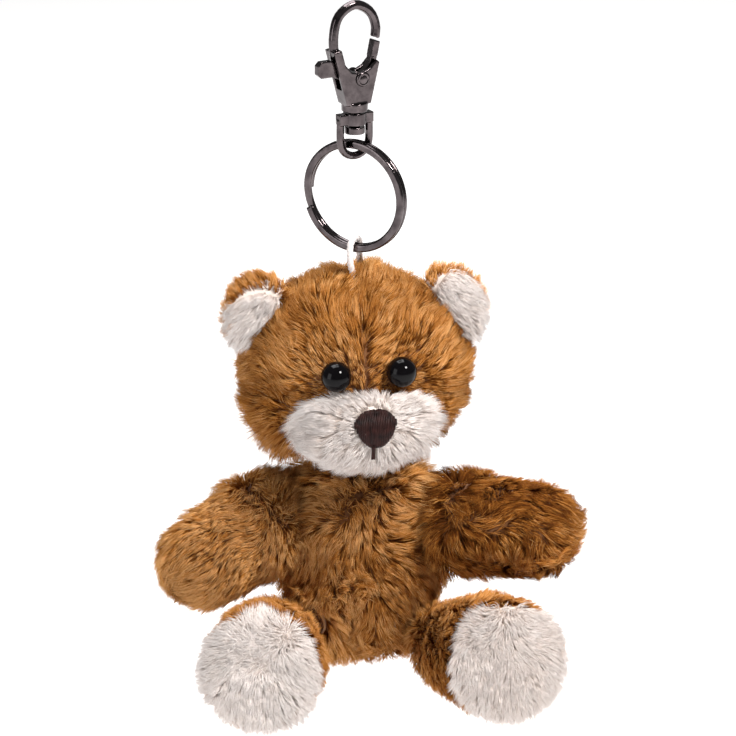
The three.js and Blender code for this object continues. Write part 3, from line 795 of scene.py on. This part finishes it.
def head_seams(points):
    local = to_head(points)
    centre = (np.abs(local[:, 0]) < SEAM_HALF) & (local[:, 1] < HEAD_SEAM_Y)
    return centre | (np.abs(local[:, 1] - HEAD_SEAM_Y) < SEAM_HALF)


def jowls(local, low, out):
    """From 0 to 1 over the cheeks, below one height and beyond one width."""
    return ramp(-local[:, 2], low, 8.0) * ramp(np.abs(local[:, 0]), out, 6.0)


def from_cord(points):
    """Distances from the cord's line, and whether points are on the head's upper half."""
    return np.hypot(points[:, 0], points[:, 1]), points[:, 2] > HEAD_CENTRE[2]


def head_flow(points):
    """Away from the bridge of the nose, parted over the centre seam, down behind, and in to the cord."""
    local = to_head(points)
    off_cord, top = from_cord(points)
    away = unit(local - BRIDGE)
    for side in (-1, 1):
        gap = local - eye_centre(side)[0]
        away += unit(gap) * bell(np.linalg.norm(gap, axis=1), 4.5)[:, None] * 1.2
    away[:, 2] -= 1.1 * jowls(local, 6.0, 8.0)
    parting = ramp(off_cord, 3.6, 6.0) * ramp(-local[:, 1], -4.0, 8.0)
    away[:, 0] += np.sign(local[:, 0]) * np.exp(-np.abs(local[:, 0]) / 5.0) * 0.16 * parting
    behind = ramp(local[:, 1], 0.0, 12.0)[:, None]
    flow = (away * (1 - behind) + np.array([0.0, 0.0, -1.0]) * behind) @ HEAD_TURN.T
    near_cord = bell(off_cord, 4.6) * top
    inwards = unit(-points * np.array([1.0, 1.0, 0.0]))
    return flow * (1 - near_cord)[:, None] + inwards * (near_cord * 0.8)[:, None]


def head_trim(points):
    """Short pile round the eyes, none under them, under the muzzle or under the cord, and fuller cheeks."""
    local = to_head(points)
    size = np.ones(len(points))
    for side in (-1, 1):
        away = np.linalg.norm(local - eye_centre(side)[0], axis=1)
        size = np.minimum(size, ramp(away, 2.4, 7.0) * 0.72 + 0.34)
        size[away < 2.7] = 0.0
    face = local[:, 1] < 0
    size[within(local, MUZZLE_RADII + 2.6, MUZZLE_CENTRE) & face] *= 0.6
    size[within(local, MUZZLE_RADII - 3.0, MUZZLE_CENTRE) & face] = 0.0
    size *= 1.0 + np.where(local[:, 0] < 0, 0.5, 0.1) * jowls(local, 2.0, 12.0)
    off_cord, top = from_cord(points)
    size *= 1.0 + 0.35 * bell(off_cord, 5.0) * top
    size[top & (off_cord < 1.0)] = 0.0
    return size


def crown_raised(points):
    """The pile stands up round the cord and puffs out over the cheeks."""
    local = to_head(points)
    off_cord, top = from_cord(points)
    cheek = jowls(local, 4.0, 8.0) * np.where(local[:, 0] < 0, 0.36, 0.2)
    return bell(off_cord, 5.0) * top * 0.45 + cheek


def head():
    nodes = ["face_panel_right", "face_panel_left", "head_back_panel"]
    skin = stuffed("head_cloth", nodes, "head", BROWN, head_seams)
    furry_quarters(("fur_face", "fur_head_back"), skin, "head", head_flow,
                   front=lambda p: to_head(p)[:, 1] < HEAD_SEAM_Y, right=lambda p: to_head(p)[:, 0] < 0,
                   seed=20, trim=head_trim, raised=crown_raised, per_mm2=10.0, length=5.6, width=0.075,
                   clump=0.58, tousle=0.38, tone=-0.25, contrast=1.1)
    filling("head_fill", "head_stuffing", "head")


def muzzle():
    rim = lambda p: to_head(p)[:, 1] > MUZZLE_RIM_Y
    skin = stuffed("muzzle_cloth", ["muzzle_skin"], "head", WHITE, rim,
                   inset=1.3, voxel=0.8, cap=0.7)
    nose_spot = np.array([NOSE["x"], MUZZLE_CENTRE[1] - MUZZLE_RADII[1], NOSE["z"]])
    behind_nose = nose_spot + np.array([0, 3.0, 0])

    def flow(points):
        return (unit(to_head(points) - behind_nose) - np.array([0, 0, 0.05])) @ HEAD_TURN.T

    def trim(points):
        """Short pile round the nose, none under it or inside the head."""
        local = to_head(points)
        flat = local - nose_spot
        away = np.hypot(flat[:, 0] / 4.4, flat[:, 2] / 4.0)
        size = np.clip(0.45 + (away - 1.0) * 0.5, 0.45, 1.15)
        size[(away < 0.7) & (local[:, 1] < -22)] = 0.0
        size[within(local, HEAD_RADII - 1.5)] = 0.0
        return size

    def raised(points):
        return ramp(to_head(points)[:, 2], MUZZLE_CENTRE[2], MUZZLE_RADII[2]) * 0.45

    fur("fur_muzzle", skin, "head", WHITE, flow, trim=trim, raised=raised, seed=31,
        per_mm2=18.0, length=5.8, width=0.07, clump=0.5, clump_mm=1.6, tousle=0.3, tone=1.0, contrast=0.7)
    filling("muzzle_fill", "muzzle_stuffing", "head")


def ear_cloth(side, label):
    """Front and back halves of one ear, each a thin pad, with the brown pile showing round the top."""
    centre = np.array([side * EAR["x"], EAR["y"], EAR["z"][label]])
    root = centre - np.array([side * 6.0, 0, 5.0])
    thin = {"inset": 0.35, "voxel": 0.7, "cap": 0.3, "fill": 0.5}
    white = stuffed(f"ear_lining_{label}", [f"ear_front_{label}"], "head", WHITE, **thin)
    brown = stuffed(f"ear_cloth_{label}", [f"ear_back_{label}"], "head", BROWN, **thin)

    def on_ear(points):
        """Millimetres outwards and upwards from the ear's middle, and out of its front."""
        flat = to_head(points) - centre
        turn = -side * EAR["turn"]
        across = flat[:, 0] * math.cos(turn) + flat[:, 1] * math.sin(turn)
        depth = flat[:, 1] * math.cos(turn) - flat[:, 0] * math.sin(turn)
        return side * across, flat[:, 2], -depth

    def outwards(points):
        return unit(to_head(points) - root) @ HEAD_TURN.T

    def lining_flow(points):
        return (unit(to_head(points) - root) * 0.7 - np.array([0, 0, 0.9])) @ HEAD_TURN.T

    def outside_head(points):
        return np.where(within(to_head(points), HEAD_RADII - 0.5), 0.0, 1.0)

    def in_lining(points):
        out, up, depth = on_ear(points)
        middle_out, middle_up, wide, high = LINING[label]
        return (((out - middle_out) / wide) ** 2 + ((up - middle_up) / high) ** 2 < 1) & (depth > 0)

    fur(f"fur_ear_front_{label}", white, "head", WHITE, lining_flow, inside=in_lining,
        trim=outside_head, seed=41 + side, per_mm2=17.0, length=4.4, width=0.07, lift=0.34, clump=0.45,
        tousle=0.15, tone=0.9, contrast=0.7)
    brown_pile = {"trim": outside_head, "per_mm2": 10.0, "length": 3.8, "tousle": 0.25, "tone": 0.2}
    fur(f"fur_ear_rim_{label}", white, "head", BROWN, outwards,
        inside=lambda p: ~in_lining(p), seed=48 + side, lift=0.5, **brown_pile)
    fur(f"fur_ear_back_{label}", brown, "head", BROWN, outwards, seed=45 + side, lift=0.45,
        **brown_pile)


def eyes():
    for side, label in ((-1, "right"), (1, "left")):
        spot, out = eye_centre(side)
        ball = [(0, -6.0), (1.0, -6.0), (1.0, -2.2)]
        for step in range(4, 25):
            angle = math.pi * (1 - step / 24)
            ball.append((EYE["r"] * math.sin(angle), EYE["out"] + EYE["r"] * math.cos(angle)))
        ball[-1] = (0, EYE["out"] + EYE["r"])
        mesh = lathe(f"safety_eye_{label}", ball, 56)
        turn = Vector((0, 0, 1)).rotation_difference(Vector(HEAD_TURN @ out)).to_matrix().to_4x4()
        place = Matrix.Translation(Vector(from_head(spot[None])[0]) * MM)
        mesh.transform(place @ turn)
        keep(add_object(f"safety_eye_{label}", mesh, EYE_GLOSS), "head", "black_eye", f"eye_{label}")
        washer = frame["nodes"][f"eye_washer_{label}"].data
        washer.materials.clear()
        washer.materials.append(WASHER)


def on_muzzle(x, z, out):
    """A point `out` millimetres off the muzzle's front, at local (x, z)."""
    radii = MUZZLE_RADII + out
    dx, dz = (x - MUZZLE_CENTRE[0]) / radii[0], (z - MUZZLE_CENTRE[2]) / radii[2]
    return np.array([x, MUZZLE_CENTRE[1] - radii[1] * math.sqrt(max(0.0, 1 - dx * dx - dz * dz)), z])


def nose_edge(share):
    """Top and bottom of the nose where `share` runs from 0 in its middle to 1 at its sides."""
    top = NOSE["z"] + NOSE["height"] * 0.42 - 2.3 * share ** 3.0
    bottom = NOSE["z"] - NOSE["height"] * 0.58 + 4.4 * share ** 2.4
    return top, min(bottom, top - 0.25)


# lift off the muzzle and thread radius of the padding and of the stitches over it
NOSE_LAYERS = ((0.25, 0.26), (0.8, 0.21))


def threads(name, paths, radius):
    """Sewing threads joined in one mesh."""
    section = round_section(radius, 7)
    return one_mesh(name, [sweep("thread", path, section, first=(1, 0, 0)) for path in paths])


def nose_rows(lift, radius, rng):
    """Rows of satin stitch, laid side by side and rising over the padding in the middle."""
    rows = int(2 * NOSE["half"] / (radius * 1.7))
    paths = []
    for row in range(rows + 1):
        x = -NOSE["half"] + row * 2 * NOSE["half"] / rows
        share = abs(x) / NOSE["half"]
        top, bottom = nose_edge(share)
        proud = rng.uniform(-0.09, 0.09)
        path = []
        crowned = (lift + proud + 0.45) * (0.35 + 0.65 * (1 - share ** 4))
        for k, z in enumerate(np.linspace(top, bottom, 14)):
            end = math.sin(math.pi * (k + 0.3) / 13.6) ** 0.4
            out = -0.25 + crowned * end + rng.normal() * 0.02
            path.append(on_muzzle(NOSE["x"] + x + rng.normal() * 0.03, z + rng.normal() * 0.05, out))
        paths.append(from_head(np.array(path)))
    return paths


def nose():
    rng = np.random.default_rng(5)
    layers = (("nose_padding", ["nose_embroidery"]), ("nose_stitching", []))
    for (name, replaced), (lift, radius) in zip(layers, NOSE_LAYERS):
        mesh = threads(name, nose_rows(lift, radius, rng), radius)
        keep(add_object(name, mesh, NOSE_YARN), "head", "nose_thread", *replaced)
    heights = np.linspace(MOUTH["top"], MOUTH["bottom"], 12)
    paths = [
        from_head(np.array([on_muzzle(MOUTH["x"] + dx, z, 0.9) for z in heights]))
        for dx in (-0.22, 0.2)
    ]
    keep(add_object("mouth_thread", threads("mouth_thread", paths, 0.26), NOSE_YARN),
         "head", "nose_thread", "mouth_stitch")


# ---- torso and limbs ----
def torso_seams(points):
    local = points - TORSO_CENTRE
    side = np.abs(local[:, 1]) < SEAM_HALF
    back = (np.abs(local[:, 0]) < SEAM_HALF) & (local[:, 1] > 0)
    return side | back


def joint_of(limb):
    """A limb's joint, and its place in millimetres."""
    joint = next(j for j in frame["joints"] if j["child"] == limb)
    return joint, np.array(joint["pos_m"]) / MM


def limb_ends(kind, label):
    """A limb's joint and the point of its CAD skin that is furthest from it, in millimetres."""
    points = coords(frame["nodes"][f"{kind}_skin_{label}"].data) / MM
    _, near = joint_of(f"{kind}_{label}")
    return near, points[np.argmax(np.linalg.norm(points - near, axis=1))]


def torso_share(points, gap):
    """How far out from the torso's middle points lie, and their spots on its surface.

    The surface is the torso's grown by a gap, and a share of 1 is on it.
    """
    scaled = (points - TORSO_CENTRE) / (TORSO_RADII + gap)
    size = np.linalg.norm(scaled, axis=1)
    way = scaled / size[:, None]
    fuller = np.where(way[:, 2] > 0, TORSO_FULLNESS["shoulders"], TORSO_FULLNESS["hips"])
    power = 2 + fuller * np.abs(way[:, 2])
    surface = (np.abs(way) ** power[:, None]).sum(axis=1) ** (-1 / power)
    return size / surface, way * surface[:, None] * (TORSO_RADII + gap) + TORSO_CENTRE


def clear_of_torso(piece, limb, gap):
    """Draws back an arm's inner end, so that it follows the torso and stays off it over the whole swing."""
    joint, place = joint_of(limb)
    low, high = joint["range_deg"]
    points = coords(piece.data) / MM
    for degrees in (0, low / 2, low, high / 2, high):
        turn = np.array(Matrix.Rotation(math.radians(degrees), 3, Vector(joint["axis"])))
        turned = (points - place) @ turn.T + place
        share, spot = torso_share(turned, gap)
        inside = share < 1
        turned[inside] = spot[inside]
        points = (turned - place) @ turn + place
    set_coords(piece.data, points * MM)


def near_limbs(points):
    """How close points lie to each limb's seam, from 0 to 1, and the way that limb leads off."""
    for kind, reach in (("arm", 11.5), ("leg", 9.5)):
        for label in ("right", "left"):
            near, far = limb_ends(kind, label)
            yield bell(np.linalg.norm(points - near, axis=1), reach), unit(far - near)


def torso_flow(points):
    """Outwards from the neck over the shoulders, then down, and out over the root of each limb."""
    local = points - TORSO_CENTRE
    down = local / TORSO_RADII * np.array([0.7, 0.4, 0.0]) - np.array([0.0, 0.0, 1.0])
    shoulder = ramp(local[:, 2], 12.0, 10.0)[:, None]
    outwards = unit(local * np.array([1.0, 1.0, 0.0]))
    flow = down * (1 - shoulder) + outwards * shoulder
    for close, heading in near_limbs(points):
        share = close[:, None] * (1 - shoulder)
        flow = flow * (1 - share) + heading * share
    return flow


def joints_raised(points):
    """The pile stands up under the chin and round each limb, where it fills the fold."""
    rise = ramp(points[:, 2] - TORSO_CENTRE[2], 12.0, 10.0) * 0.35
    for close, _ in near_limbs(points):
        rise += 0.25 * close
    return rise


UNDER_LIMB = 0.72


def torso_trim(points):
    """Longer pile on the shoulders and round the neck and limbs, and short pile under the limbs' ends."""
    local = points - TORSO_CENTRE
    round_neck = np.maximum(np.abs(local[:, 0]), local[:, 1] + 4.0)
    size = 1.0 + 0.6 * ramp(local[:, 2], 11.0, 6.0) * ramp(round_neck, 6.0, 5.0)
    size += ramp(-local[:, 2], 12.0, 8.0) * 0.15
    for close, _ in near_limbs(points):
        size += 0.4 * close
        size[close > UNDER_LIMB] = 0.25
    return size


def torso():
    nodes = ["belly_panel", "back_panel_right", "back_panel_left"]
    skin = stuffed("torso_cloth", nodes, "torso", BROWN, torso_seams)
    furry_quarters(("fur_belly", "fur_back"), skin, "torso", torso_flow,
                   front=lambda p: p[:, 1] < TORSO_CENTRE[1], right=lambda p: p[:, 0] < TORSO_CENTRE[0],
                   seed=50, trim=torso_trim, raised=joints_raised, per_mm2=11.5, length=5.0, width=0.075,
                   clump=0.66, clump_mm=1.5, tousle=0.75, lift=0.45, tone=0.5, contrast=1.25)
    filling("torso_fill", "torso_stuffing", "torso")


def nearness(points, near, far, reach):
    """How far points lie back along a limb: 0 from `reach` millimetres on, and 1 at its joint."""
    return 1.0 - (points - near) @ unit(far - near) / reach


def along_flow(near, far, droop=0.3):
    """Down the limb, but up and back over the top of the fold at its seam."""
    heading = unit(far - near)
    down = heading - np.array([0.0, 0.0, droop])
    inwards = np.array([-heading[0], 0.0, 0.5])

    def flow(points):
        back = np.clip(nearness(points, near, far, 7.0) + 0.3, 0, 1) * ramp(points[:, 2] - near[2], 3.0, 4.0)
        return down * (1 - back[:, None]) + inwards * back[:, None]
    return flow


def fold_raised(near, far):
    return lambda points: 0.22 * np.clip(nearness(points, near, far, 5.0) + 0.4, 0, 1)


INSIDE_SEAM = 6.2


def arm_trim(near, far):
    """Longer pile over the top of the shoulder, and none on the arm's end inside the seam."""
    def trim(points):
        close = np.clip(nearness(points, near, far, 11.0), 0, 1)
        size = 1.0 + 0.55 * close * ramp(points[:, 2], near[2], 8.0)
        size[np.linalg.norm(points - near, axis=1) < INSIDE_SEAM] = 0.0
        return size
    return trim


def furry_limb(name, skin, body, middle, flow, seed, **finish):
    """A limb's pile in two pieces, the front and the back of its middle."""
    front = lambda p: p[:, 1] < middle[1] + 0.4 * (p[:, 2] - middle[2])
    for part, at_front in (("front", True), ("back", False)):
        fur(f"{name}_{part}", skin, body, BROWN, flow, seed,
            inside=lambda p: front(p) == at_front, **finish)
        seed += 1


LIMB_SEAM_HALF = 0.7
# tone paints light and shade per arm: the right arm's pile is painted lighter as painted light, the left's
# painted darker as painted shade; the left's looser, curlier locks are its own
ARM_PILE = {
    "right": {"seed": 60, "clump_mm": 1.2, "tousle": 0.4, "tone": 1.0, "contrast": 1.0},
    "left": {"seed": 65, "clump_mm": 1.5, "tousle": 0.8, "tone": -2.0, "contrast": 1.4},
}
ARM_CLOTH_GAP = 1.2
ARM_FILL_GAP = 2.8


def arms():
    for label, pile in ARM_PILE.items():
        limb = f"arm_{label}"
        near, far = limb_ends("arm", label)
        across = np.cross(unit(far - near), [0, 0, 1.0])
        seam = lambda p: np.abs((p - near) @ across) < LIMB_SEAM_HALF
        skin = stuffed(f"arm_cloth_{label}", [f"arm_skin_{label}"], limb, BROWN, seam)
        clear_of_torso(skin, limb, ARM_CLOTH_GAP)
        furry_limb(f"fur_{limb}", skin, limb, (near + far) / 2, along_flow(near, far),
                   trim=arm_trim(near, far), raised=fold_raised(near, far), per_mm2=10.0, length=5.2,
                   width=0.075, lift=0.46, **pile)
        clear_of_torso(filling(f"arm_fill_{label}", f"arm_stuffing_{label}", limb), limb, ARM_FILL_GAP)


SOLE_SEAM_DEPTH = 1.6
# tone sets each sole's white pile: the right sole is painted lighter as painted light, the left painted
# darker as painted shade
LEG_PILE = {
    "right": {"seed": 70, "edge": 11.5, "tone": 0.7},
    "left": {"seed": 75, "edge": 12.0, "tone": -0.3},
}


def legs():
    for label, pile in LEG_PILE.items():
        limb = f"leg_{label}"
        near, _ = limb_ends("leg", label)
        edge = pile["edge"]
        pad = coords(frame["nodes"][f"sole_pad_{label}"].data) / MM
        sole = pad.mean(axis=0)
        spread = pad - sole
        face = np.linalg.eigh(spread.T @ spread)[1][:, 0]
        face = face if face[1] < 0 else -face

        def on_sole(points):
            """Depth out of the sole and distance from its middle."""
            flat = points - sole
            depth = flat @ face
            return depth, np.linalg.norm(flat - depth[:, None] * face, axis=1)

        seam = lambda p: np.abs(on_sole(p)[0] + SOLE_SEAM_DEPTH) < LIMB_SEAM_HALF
        skin = stuffed(f"leg_cloth_{label}", [f"leg_skin_{label}"], limb, BROWN, seam)

        def clear_of_sole(points):
            depth, away = on_sole(points)
            return np.where((depth > -2.5) & (away < edge - 0.4), 0.0, 1.0)

        down_leg = along_flow(near, sole, 0.1)

        def rim_flow(points):
            """Along the leg, then turning outwards round the sole."""
            depth, _ = on_sole(points)
            near_rim = ramp(depth, -6.0, 5.0)[:, None]
            radial = unit(points - sole - depth[:, None] * face)
            return down_leg(points) * (1 - 0.4 * near_rim) + radial * near_rim * 0.5

        furry_limb(f"fur_{limb}", skin, limb, (near + sole) / 2, rim_flow, seed=pile["seed"],
                   trim=clear_of_sole, raised=fold_raised(near, sole), per_mm2=9.0, length=5.0, width=0.075,
                   clump_mm=1.2, tousle=0.4, lift=0.5, tone=-0.3)
        white = stuffed(f"sole_cloth_{label}", [f"sole_pad_{label}"], limb, WHITE,
                        inset=0.3, voxel=0.8, cap=0.4, fill=0.6)

        def on_pad(points):
            depth, away = on_sole(points)
            return (depth > -0.8) & (away < edge)

        def sole_flow(points):
            return unit(points - sole) * 0.55 + np.array([0.1, 0.0, -0.6])

        # the sole's pile takes its side's tone: painted light on the right sole, painted shade on the left
        fur(f"fur_sole_{label}", white, limb, WHITE, sole_flow, inside=on_pad,
            seed=pile["seed"] + 2, per_mm2=24.0, length=4.0, width=0.07, lift=0.4, clump=0.36, tousle=0.3,
            tone=pile["tone"], contrast=0.6)
        filling(f"leg_fill_{label}", f"leg_stuffing_{label}", limb)


SEAM_DEPTH = 2.0


def seam_threads():
    """The stitching that closes each limb's hole, drawn down into the pile."""
    for limb in ("arm", "leg"):
        for label in ("right", "left"):
            source = f"{limb}_seam_{label}"
            name = f"{limb}_stitching_{label}"
            piece = add_object(name, frame["nodes"][source].data.copy())
            piece.data.materials.clear()
            piece.data.materials.append(BROWN_YARN)
            points = coords(piece.data)
            inwards = unit(TORSO_CENTRE * MM - points.mean(axis=0))
            set_coords(piece.data, points + inwards * SEAM_DEPTH * MM)
            keep(piece, "torso", "brown_thread", source)


# ---- stage ----
FLOOR_HALF = 6.0
FLOOR_Z = -0.215

# each light's name, place from the middle of the view (m), size (m), watts and colour
SOFT_BOXES = (
    ("key", (0.55, -0.5, 0.8), (0.25, 0.25), 16.0, (1.0, 0.97, 0.94)),
    ("fill", (-0.8, -0.6, 0.25), (0.5, 0.7), 3.2, (1, 1, 1)),
    ("top", (-0.1, 0.3, 0.9), (0.6, 0.5), 8.0, (1, 1, 1)),
)


def floor():
    mesh = bpy.data.meshes.new("floor")
    corners = ((-1, -1), (1, -1), (1, 1), (-1, 1))
    mesh.from_pydata([(x * FLOOR_HALF, y * FLOOR_HALF, FLOOR_Z) for x, y in corners], [], [(0, 1, 2, 3)])
    paper = principled("floor", (0.93, 0.93, 0.93), 0.9, Emission_Color=(1, 1, 1, 1), Emission_Strength=0.3)
    add_object("floor", mesh, paper)


def soft_box(name, place, size, watts, colour):
    data = bpy.data.lights.new(name, "AREA")
    data.shape = "RECTANGLE"
    data.size, data.size_y = size
    data.energy = watts
    data.color = colour
    light = linked(name, data)
    light.location = VIEW_TARGET + Vector(place)
    light.rotation_euler = (VIEW_TARGET - light.location).to_track_quat("-Z", "Y").to_euler()


def lighting():
    world = bpy.data.worlds.new("studio")
    bpy.context.scene.world = world
    world.use_nodes = True
    background = world.node_tree.nodes["Background"].inputs
    background["Color"].default_value = (1, 1, 1, 1)
    background["Strength"].default_value = 0.2
    for light in SOFT_BOXES:
        soft_box(*light)


hardware()
cord()
head()
muzzle()
for ear_side, ear_label in ((-1, "right"), (1, "left")):
    ear_cloth(ear_side, ear_label)
eyes()
nose()
torso()
arms()
legs()
seam_threads()
floor()
lighting()
